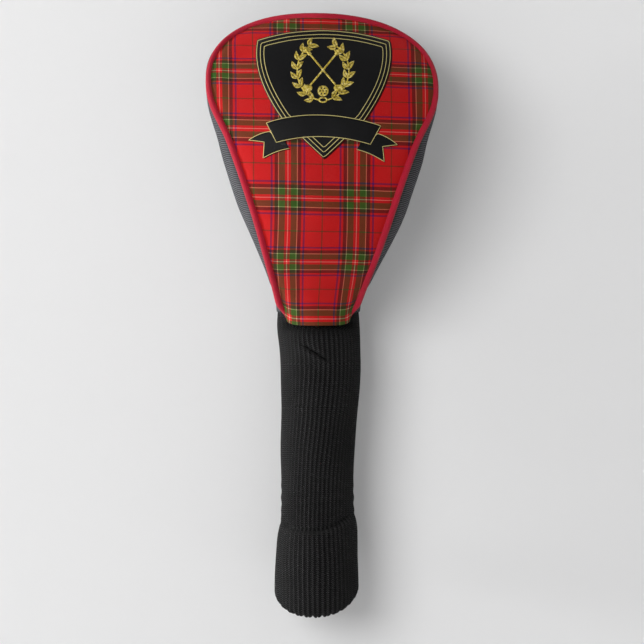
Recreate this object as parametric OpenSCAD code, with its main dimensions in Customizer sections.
// Driver head cover: a padded shell for the club's head, closed by a two-ply knitted
// sock. Millimetres. +Z points from the sock's mouth to the top of the head, the
// tartan panel faces -Y, and the origin is the centre of the mouth.

/* [Head] */
// Height of the top of the head above the mouth
head_top = 318; // [310:1:326]
// Height at which the head is widest
widest_z = 279; // [275:1:283]
// Height of the lower edge of the front panel's tongue
tongue_z = 146; // [145:0.5:148]
// Greatest width of the head, over the piping
head_w = 129.4; // [124:0.2:134]
// Half width of the tongue at its foot
tongue_half_w = 16.6; // [16:0.1:17.2]
// How far the front panel's crest stands in front of the sock's axis
crest_y = 62; // [58:0.5:66]
// Height of the crest above the foot of the tongue
crest_rise = 88; // [84:1:92]
// How far the front panel's top edge stands in front of the sock's axis
top_y = 18; // [15:0.5:21]
// Outer radius of the shell where it closes on the sock
neck_r = 24.2; // [23.8:0.1:24.6]
// How far the front panel falls back from its middle to its sides
front_drop = 12; // [9:0.5:14]
// How far the back panel comes forward from its middle to its sides
back_drop = 16; // [13:0.5:18]
// How far the gussets stand out at the hips
hip_bulge = 6; // [4:0.5:7]

/* [Layers] */
// Thickness of the outer cloth
cloth_t = 1.2; // [0.8:0.1:1.3]
// Thickness of the foam padding
foam_t = 3; // [2:0.1:3.5]
// Thickness of the plush lining
lining_t = 1.6; // [1:0.1:2]
// Clearance between two layers
layer_gap = 0.3; // [0.2:0.05:0.4]

/* [Piping] */
// Radius of the covered piping
bead_r = 1.8; // [1.6:0.05:1.9]
// Radius of the cord inside it
cord_r = 1.2; // [0.9:0.05:1.25]
// Distance from the seam line to each panel's edge
seam_inset = 2.85; // [2.7:0.05:3.2]
// Length of the sewn flange behind the bead
flange_len = 1.6; // [1:0.1:1.8]

/* [Sock] */
// Thickness of the outer ply
outer_ply_t = 1.4; // [1:0.05:1.5]
// Thickness of the inner ply
inner_ply_t = 1.2; // [0.8:0.05:1.3]
// Space between the plies, where the elastics sit
ply_space = 1.2; // [1:0.05:1.4]
// Radius of the mouth's inner wall
mouth_r = 18; // [17.8:0.1:18]
// Height up to which the mouth's inner wall is a true cylinder
mouth_len = 28; // [20:1:30]
// Rise of the rim from front to back, for each millimetre of depth
rim_slope = 0.45; // [0:0.05:0.45]
// Height of the top of the cuff
cuff_top = 52; // [51:0.5:54]
// Height of the top of the sleeve
sleeve_top = 105; // [103:0.5:106]
// Height of the top of the bending neck
neck_top = 144; // [143:0.5:144.5]
// Height of the top of the sock, sewn inside the shell
sock_top_z = 163; // [161:0.5:164]

/* [Hidden] */

rise = widest_z - tongue_z;             // foot of the tongue to the widest height
dome = head_top - bead_r + 0.7 - widest_z;  // widest height to the seam at the top
seam_hw = head_w / 2 - bead_r + 0.6;    // half width over the seam line
bead_sink = 0.7;                        // bead centre below the outer cloth
bow = (crest_y - top_y) / pow(rise + dome - crest_rise, 2);
neck_drop = neck_r - sqrt(neck_r * neck_r - tongue_half_w * tongue_half_w);
foot_rise = 0.041;                      // height of the tongue's corners, as a share of rise
hip_rise = 78;                          // height of the hips above the foot
hip_spread = 36;                        // half height of the hips
gusset_lift = 8;                        // lower edge of a gusset over its corners
t_last = 2.95;                          // last row of a panel, just short of the top
first_padded = 3;                       // first row that has foam and lining behind it
foam_e = cloth_t + layer_gap;           // depth of the foam's outer face
lining_e = foam_e + foam_t + layer_gap; // depth of the lining's outer face
hem_z = 13;                             // height of the hem's solid fold
$fn = 96;

// Rows from the foot of a panel (0) to the top of the head (3)
rows = [0, 0.08, 0.17, 0.28, 0.4, 0.52, 0.64, 0.76, 0.88,
    1, 1.33, 1.67, 2, 2.2, 2.4, 2.6, 2.75, 2.87, t_last];
gusset_rows = concat(rows, [3]);
// Columns from one side of a panel (-1) to the other (1)
columns = [for (i = [-6:6]) i / 6];
// Columns from the front rail (0) of a gusset to its back rail (1)
gusset_columns = [for (i = [0:6]) i / 6];

// ---- shared curves -------------------------------------------------------------

function mix(a, b, k) = a + (b - a) * k;
function clamp01(x) = max(0, min(1, x));
function smooth(x) = let (c = clamp01(x)) c * c * (3 - 2 * c);
function soft_min(a, b, k) = min(a, b) - pow(max(k - abs(a - b), 0), 2) / (4 * k);
function soft_max(a, b, k) = -soft_min(-a, -b, k);
function unit(v) = v / norm(v);
function mirror_x(p) = [-p.x, p.y, p.z];
function bezier(a, b, c, d, t) =
    pow(1 - t, 3) * a + 3 * t * pow(1 - t, 2) * b + 3 * t * t * (1 - t) * c + pow(t, 3) * d;

// Right side of the outline, [half width, height over the foot], t from 0 to 3:
// the tongue and hips, then the shoulder, then the dome, a quarter superellipse
function side(t, inset) =
    let (w = seam_hw - inset, foot = tongue_half_w - inset)
    t < 1 ? bezier([foot, foot_rise * rise], [foot + 8.2, 0.154 * rise],
                   [0.61 * w, 0.5 * rise], [0.83 * w, 0.767 * rise], t)
    : t < 2 ? bezier([0.83 * w, 0.767 * rise], [0.915 * w, 0.857 * rise],
                     [w, 0.9 * rise], [w, rise], t - 1)
    : let (a = min(90, (t - 2) * 90))
      [w * pow(cos(a), 0.91), rise + (dome - inset) * pow(sin(a), 0.91)];

// Middle line of the front panel: a bow that closes on the neck
function crown_middle(h) =
    soft_min(bow * pow(h - crest_rise, 2) - crest_y, -neck_r, 8);
// Middle line of the back panel: straight up from the neck, then leaning forward
function sole_middle(h) =
    neck_r - (neck_r - 2) * pow(max(0, h - 60) / (rise + dome - 60), 2);

// Fall of a panel from its middle to its sides
function side_drop(t, drop) =
    let (p = side(t, 0))
    mix(neck_drop, drop * pow(p.x / seam_hw, t < 2 ? 1 : 1.5), smooth(p.y / 40));

// ---- surfaces ------------------------------------------------------------------

// Lower edge of a panel turns up at its corners
function foot_turn(u, t) = 4 * pow(abs(u), 4) * (1 - smooth(t / 0.28));

function crown_at(u, t, inset) =
    let (p = side(t, inset), h = p.y - foot_rise * rise * (1 - smooth(t / 0.28)),
         across = abs(u) * p.x / max(0.001, side(t, 0).x))
    [u * p.x, crown_middle(h) + side_drop(t, front_drop) * pow(across, 2.4),
     tongue_z + h + foot_turn(u, t)];

function sole_at(u, t, inset) =
    let (p = side(t, inset), h = p.y - foot_rise * rise * (1 - smooth(t / 0.28)),
         across = abs(u) * p.x / max(0.001, side(t, 0).x),
         narrowing = 0.05 * smooth((p.y - 20) / 80))
    [u * p.x * (1 - narrowing), sole_middle(h) - side_drop(t, back_drop) * pow(across, 2.4),
     tongue_z + h - 3 * smooth(t - 2) + foot_turn(u, t)];

function gusset_bulge(t) =
    let (p = side(t, 0))
    soft_max(t < 1 ? neck_r - p.x : 0,
             3.4 + hip_bulge * exp(-pow((p.y - hip_rise) / hip_spread, 2)), 2)
    * (t < 2 ? 1 : 1 - 0.5 * smooth(t - 2));

// Outward normal of the outline, in the XZ plane
function outline_normal(t) =
    let (d = side(min(t, 2.97) + 0.01, 0) - side(min(t, 2.97) - 0.01, 0))
    unit([d.y, 0, -d.x]);

// Right gusset, s from the front rail (0) to the back rail (1)
function gusset_at(s, t) =
    let (front = crown_at(1, t, 0), back = sole_at(1, t, 0),
         edge = seam_inset / norm(back - front), k = mix(edge, 1 - edge, s),
         swell = 4 * k * (1 - k),
         p = mix(front, back, k) + swell * gusset_bulge(t) * outline_normal(t))
    [max(0.5, p.x), p.y, p.z + gusset_lift * swell * max(0, 1 - t / 0.28)];

// ---- inward directions ---------------------------------------------------------

function cross_dir(f, u, t) =
    unit(cross(f(u + 0.01, t) - f(u - 0.01, t), f(u, t + 0.01) - f(u, t - 0.01)));

function crown_in(u, t) =
    -cross_dir(function(a, b) crown_at(a, b, seam_inset), u, t);
function sole_in(u, t) =
    cross_dir(function(a, b) sole_at(a, b, seam_inset), u, t);
function gusset_in(s, t) =
    -cross_dir(function(a, b) gusset_at(a, b), s, min(t, 2.97));

// Mitre where a panel meets a gusset, so that the layers of both stay apart
function mitre(n, u, t) =
    let (o = outline_normal(t), g = unit([-o.x * sign(u) - 0.0001, 0, -o.z]))
    (n + g) / (1 + n * g);
function crown_dir(u, t) =
    abs(u) == 1 || t == t_last ? mitre(crown_in(u, t), u, t) : crown_in(u, t);
function sole_dir(u, t) =
    abs(u) == 1 || t == t_last ? mitre(sole_in(u, t), u, t) : sole_in(u, t);
function gusset_dir(s, t) =
    s == 0 ? mitre(crown_in(1, min(t, 2.97)), 1, t)
    : s == 1 ? mitre(sole_in(1, min(t, 2.97)), 1, t)
    : gusset_in(s, t);

// ---- builders ------------------------------------------------------------------

// Closed slab between depths e0 and e1 below a surface, over a grid of nu x nt points
module slab(at, dir, us, ts, e0, e1, flip) {
    nu = len(us);
    nt = len(ts);
    n = nu * nt;
    points = [for (e = [e0, e1]) for (t = ts) for (u = us) at(u, t) + e * dir(u, t)];
    outer = [for (j = [0:nt - 2]) for (i = [0:nu - 2])
        let (a = j * nu + i) each [[a, a + 1, a + nu + 1], [a, a + nu + 1, a + nu]]];
    inner = [for (f = outer) [f[0] + n, f[2] + n, f[1] + n]];
    rim = concat([for (i = [0:nu - 1]) i], [for (j = [1:nt - 1]) j * nu + nu - 1],
        [for (i = [nu - 2:-1:0]) (nt - 1) * nu + i], [for (j = [nt - 2:-1:1]) j * nu]);
    wall = [for (k = [0:len(rim) - 1])
        let (a = rim[k], b = rim[(k + 1) % len(rim)]) each [[b, a, a + n], [b, a + n, b + n]]];
    faces = concat(outer, inner, wall);
    polyhedron(points, flip ? [for (f = faces) [f[0], f[2], f[1]]] : faces, convexity = 6);
}

module crown_layer(first, e0, e1)
    slab(function(u, t) crown_at(u, t, seam_inset), function(u, t) crown_dir(u, t),
         columns, [for (j = [first:len(rows) - 1]) rows[j]], e0, e1, true);

module sole_layer(first, e0, e1)
    slab(function(u, t) sole_at(u, t, seam_inset), function(u, t) sole_dir(u, t),
         columns, [for (j = [first:len(rows) - 1]) rows[j]], e0, e1, false);

module gusset_layer(first, e0, e1)
    slab(function(s, t) gusset_at(s, t), function(s, t) gusset_dir(s, t), gusset_columns,
         [for (j = [first:len(gusset_rows) - 1]) gusset_rows[j]], e0, e1, true);

// Rows of a seam, each cut in two, from row t0 up
function seam_rows(t0) =
    [for (j = [0:len(rows) - 2]) for (k = [0, 0.5])
        let (t = mix(rows[j], rows[j + 1], k)) if (t >= t0) t];
// Centre line at one depth below the seam, over the head from foot to foot
function seam_path(at, dir, t0, depth, shift) =
    let (right = [for (t = concat(seam_rows(t0), [t_last]))
        at(1, t) + depth * dir(1, t) + [0, shift, 0]])
    concat(right, [for (i = [len(right) - 1:-1:0]) mirror_x(right[i])]);
function seam_inward(dir, t0) =
    let (right = [for (t = concat(seam_rows(t0), [t_last])) unit(dir(1, t))])
    concat(right, [for (i = [len(right) - 1:-1:0]) mirror_x(right[i])]);

// Places a flat section along a path; x of the section points out of the head
function swept(path, inward, section) =
    [for (i = [0:len(path) - 1])
        let (last = len(path) - 1,
             along = unit(path[min(last, i + 1)] - path[max(0, i - 1)]),
             out = unit(-inward[i] + (inward[i] * along) * along),
             across = cross(along, out))
        for (p = section) path[i] + p.x * out + p.y * across];

function ring_faces(rings, n, base, turn) =
    [for (i = [0:rings - 2]) for (k = [0:n - 1])
        let (a = base + i * n + k, b = base + i * n + (k + 1) % n)
        each turn ? [[a, b, b + n], [a, b + n, a + n]] : [[a, b + n, b], [a, a + n, b + n]]];

// Solid cord along a path
module cord(path, inward, r, sides) {
    section = [for (k = [0:sides - 1]) r * [cos(360 * k / sides), sin(360 * k / sides)]];
    rings = len(path);
    caps = [[for (k = [0:sides - 1]) k],
            [for (k = [sides - 1:-1:0]) (rings - 1) * sides + k]];
    polyhedron(swept(path, inward, section),
        concat(ring_faces(rings, sides, 0, false), caps), convexity = 8);
}

// Hollow bead with a sewn flange, along a path
module covered_bead(path, inward) {
    n = 10;
    rings = len(path);
    size = rings * n;
    round_part = [for (k = [0:7]) bead_r * [cos(45 * k - 157.5), sin(45 * k - 157.5)]];
    tail = -bead_r - flange_len;
    section = concat(round_part, [[tail, 0.3], [tail, -0.3]]);
    bore = [for (p = section) let (a = atan2(p.y, p.x)) (cord_r + 0.2) * [cos(a), sin(a)]];
    caps = [for (k = [0:n - 1]) let (m = (k + 1) % n)
        each [[k, m, m + size], [k, m + size, k + size]]];
    last = (rings - 1) * n;
    ends = [for (k = [0:n - 1]) let (m = (k + 1) % n)
        each [[last + k, last + m + size, last + m], [last + k, last + k + size, last + m + size]]];
    polyhedron(concat(swept(path, inward, section), swept(path, inward, bore)),
        concat(ring_faces(rings, n, 0, false), ring_faces(rings, n, size, true), caps, ends),
        convexity = 8);
}

function crown_seam(u, t) = crown_at(u, t, 0);
function sole_seam(u, t) = sole_at(u, t, 0);

// Outer radius of the sock at a height
function knit_r(z) = lookup(z, [[0, 23.1], [12, 22.9], [25, 22.1], [33, 21.4], [39, 20.4],
    [46, 19.6], [66, 19.8], [90, 20.8], [116, 21.5], [144, 21.8]]);
function heights(z0, z1) =
    concat([z0], [for (z = [12, 25, 33, 39, 46, 66, 90, 116]) if (z > z0 && z < z1) z], [z1]);

// One ply of the knit, from depth a to depth b below the sock's outer face
module ply(z0, z1, a, b) {
    zs = heights(z0, z1);
    n = len(zs);
    rotate_extrude()
        polygon(concat([for (z = zs) [knit_r(z) - a, z]],
                       [for (i = [n - 1:-1:0]) [knit_r(zs[i]) - b, zs[i]]]));
}
waist_z = 46;                           // height of the sock's waist, over the cuff
waist_in_r = knit_r(waist_z) - outer_ply_t - ply_space - inner_ply_t;
module outer_ply(z0, z1) ply(z0, z1, 0, outer_ply_t);
module inner_ply(z0, z1)
    ply(z0, z1, outer_ply_t + ply_space, outer_ply_t + ply_space + inner_ply_t);

module band(r_in, r_out, z0, z1)
    rotate_extrude() translate([r_in, z0]) square([r_out - r_in, z1 - z0]);

module thread_ring(r, z, thread_r)
    rotate_extrude() translate([r, z]) circle(thread_r, $fn = 24);

// ---- sub-parts -----------------------------------------------------------------

module crown_panel() color("firebrick") crown_layer(0, 0, cloth_t);
module sole_panel() color([0.13, 0.13, 0.14]) sole_layer(0, 0, cloth_t);
module right_gusset() color([0.2, 0.2, 0.21]) gusset_layer(0, 0, cloth_t);
module left_gusset() color([0.2, 0.2, 0.21]) mirror([1, 0, 0]) gusset_layer(0, 0, cloth_t);

module crown_foam() color("gainsboro") crown_layer(first_padded, foam_e, foam_e + foam_t);
module sole_foam() color("gainsboro") sole_layer(first_padded, foam_e, foam_e + foam_t);
module right_gusset_foam() color("gainsboro") gusset_layer(first_padded, foam_e, foam_e + foam_t);
module left_gusset_foam() color("gainsboro") mirror([1, 0, 0])
    gusset_layer(first_padded, foam_e, foam_e + foam_t);

module crown_lining() color("dimgray") crown_layer(first_padded, lining_e, lining_e + lining_t);
module sole_lining() color("dimgray") sole_layer(first_padded, lining_e, lining_e + lining_t);
module right_gusset_lining() color("dimgray")
    gusset_layer(first_padded, lining_e, lining_e + lining_t);
module left_gusset_lining() color("dimgray") mirror([1, 0, 0])
    gusset_layer(first_padded, lining_e, lining_e + lining_t);

module crown_piping() color("crimson") covered_bead(
    seam_path(function(u, t) crown_seam(u, t), function(u, t) crown_dir(u, t), 0.08, bead_sink, 0),
    seam_inward(function(u, t) crown_dir(u, t), 0.08));
module crown_piping_cord() color("ivory") cord(
    seam_path(function(u, t) crown_seam(u, t), function(u, t) crown_dir(u, t), 0.08, bead_sink, 0),
    seam_inward(function(u, t) crown_dir(u, t), 0.08), cord_r, 8);
module sole_piping() color([0.1, 0.1, 0.1]) covered_bead(
    seam_path(function(u, t) sole_seam(u, t), function(u, t) sole_dir(u, t), 0.08, bead_sink, 0),
    seam_inward(function(u, t) sole_dir(u, t), 0.08));
module sole_piping_cord() color("ivory") cord(
    seam_path(function(u, t) sole_seam(u, t), function(u, t) sole_dir(u, t), 0.08, bead_sink, 0),
    seam_inward(function(u, t) sole_dir(u, t), 0.08), cord_r, 8);

module crown_seam_thread() color("black") cord(
    seam_path(function(u, t) crown_seam(u, t), function(u, t) crown_dir(u, t), 0.28, 3, 1.2),
    seam_inward(function(u, t) crown_dir(u, t), 0.28), 0.25, 4);
module sole_seam_thread() color("black") cord(
    seam_path(function(u, t) sole_seam(u, t), function(u, t) sole_dir(u, t), 0.28, 3, -1.2),
    seam_inward(function(u, t) sole_dir(u, t), 0.28), 0.25, 4);
module top_seam_thread() color("black") cord(
    [for (s = gusset_columns) let (p = gusset_at(s, 3)) [0, p.y, p.z - cloth_t / 2]],
    [for (s = gusset_columns) [0, 0, -1]], 0.25, 6);

module neck_binding() color([0.1, 0.1, 0.1]) {
    outer_r = knit_r(neck_top) + 0.4;
    inner_r = knit_r(neck_top) - outer_ply_t - ply_space - inner_ply_t - 0.4;
    difference() {
        band(inner_r, outer_r, sock_top_z - 4, sock_top_z + 0.6);
        band(inner_r + 0.3, outer_r - 0.3, sock_top_z - 5, sock_top_z + 0.2);
    }
}
module neck_elastic() color("white")
    band(knit_r(neck_top) - outer_ply_t - ply_space + 0.1, knit_r(neck_top) - outer_ply_t - 0.1,
         148, 156);
module neck_seam_thread() color("black") thread_ring(knit_r(neck_top) + 0.2, 153, 0.15);
module sock_top() color([0.12, 0.12, 0.12]) outer_ply(neck_top, sock_top_z);
module sock_top_liner() color([0.2, 0.2, 0.2]) inner_ply(neck_top, sock_top_z);
module sock_neck() color([0.12, 0.12, 0.12]) outer_ply(sleeve_top + 0.4, neck_top - 0.4);
module sock_neck_liner() color([0.2, 0.2, 0.2]) inner_ply(sleeve_top + 0.4, neck_top - 0.4);
module sock_sleeve() color([0.12, 0.12, 0.12]) outer_ply(cuff_top + 0.4, sleeve_top);
module sock_sleeve_liner() color([0.2, 0.2, 0.2]) inner_ply(cuff_top + 0.4, sleeve_top);

module sock_cuff() color([0.12, 0.12, 0.12]) {
    lowest = -rim_slope * knit_r(0);
    difference() {
        rotate_extrude() polygon(concat([for (z = heights(lowest, cuff_top)) [knit_r(z), z]],
            [[waist_in_r, cuff_top], [waist_in_r, waist_z], [mouth_r, mouth_len],
             [mouth_r, lowest]]));
        rotate_extrude() polygon(concat(
            [for (z = heights(hem_z, cuff_top + 1)) [knit_r(z) - outer_ply_t, z]],
            [[waist_in_r + inner_ply_t, cuff_top + 1], [waist_in_r + inner_ply_t, waist_z],
             [mouth_r + inner_ply_t, mouth_len], [mouth_r + inner_ply_t, hem_z]]));
        rotate([atan(rim_slope), 0, 0]) translate([-50, -50, -60]) cube([100, 100, 60]);
    }
}
module cuff_elastic() color("white")
    band(waist_in_r + inner_ply_t + 0.1, knit_r(waist_z) - outer_ply_t - 0.1, waist_z + 0.2, 51);
module hem_thread() color("black")
    thread_ring((knit_r(hem_z) - outer_ply_t + mouth_r + inner_ply_t) / 2, hem_z + 0.4, 0.25);

crown_panel();
sole_panel();
left_gusset();
right_gusset();
crown_foam();
sole_foam();
left_gusset_foam();
right_gusset_foam();
crown_lining();
sole_lining();
left_gusset_lining();
right_gusset_lining();
crown_piping();
crown_piping_cord();
sole_piping();
sole_piping_cord();
crown_seam_thread();
sole_seam_thread();
top_seam_thread();
neck_binding();
neck_elastic();
neck_seam_thread();
sock_top();
sock_top_liner();
sock_neck();
sock_neck_liner();
sock_sleeve();
sock_sleeve_liner();
sock_cuff();
cuff_elastic();
hem_thread();
